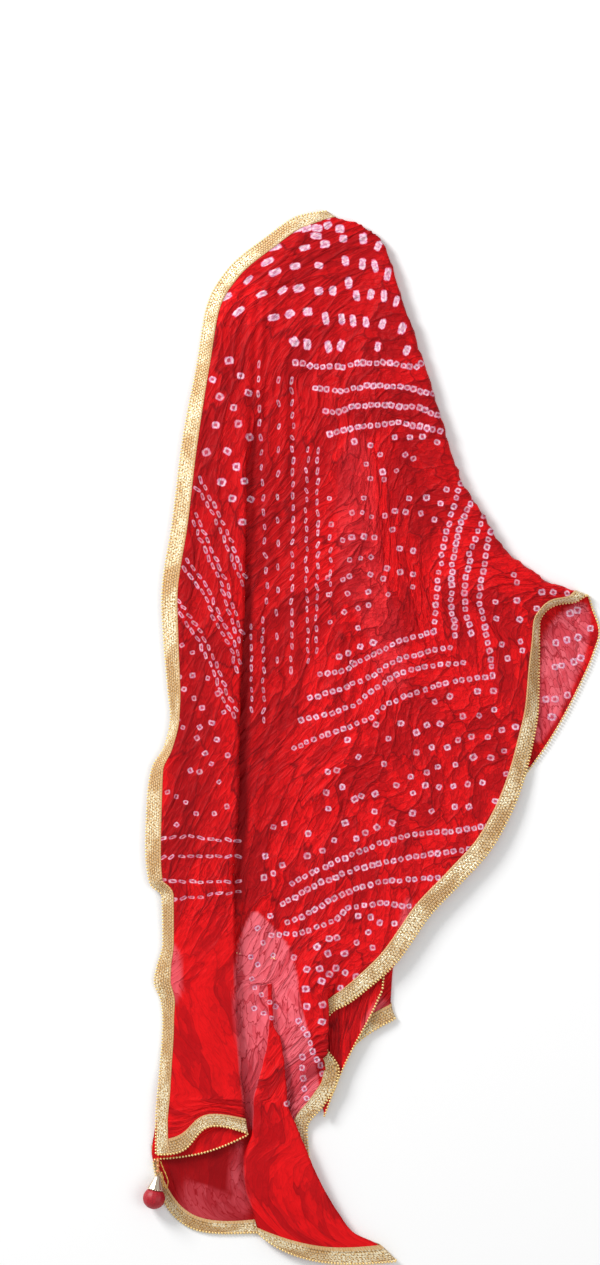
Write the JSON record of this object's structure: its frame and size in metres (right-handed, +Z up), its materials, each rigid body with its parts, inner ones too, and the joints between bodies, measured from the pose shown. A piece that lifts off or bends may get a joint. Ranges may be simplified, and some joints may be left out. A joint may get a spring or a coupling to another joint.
{
  "type": "dupatta",
  "caption": "Long tie-dyed scarf with gold lace edges and a corner tassel, laid out in soft pleats with its far end folded over.",
  "frame": {"origin": "centre of the laid-out dupatta's bounding box, at the surface it lies on", "axes": "+Z up, +Y towards the long fold, +X towards the wrist end's edge"},
  "size_m": [0.6305, 1.4611, 0.0302],
  "materials": {
    "cloth": "crinkled tie-dyed art silk, red with pale ringed dots, sheer where single",
    "lace": "woven gold lace with a beaded edge",
    "gold_cord": "gold cord",
    "tassel_cap": "fluted silver foil cap",
    "tassel_bud": "red cloth bud"
  },
  "bodies": {
    "root": {"dupatta_cloth": "cloth", "lace_left": "lace", "lace_right": "lace", "lace_front": "lace", "lace_back": "lace", "tassel_cord": "gold_cord", "tassel_loop": "gold_cord", "tassel_cap": "tassel_cap", "tassel_bud": "tassel_bud"}
  },
  "joints": []
}
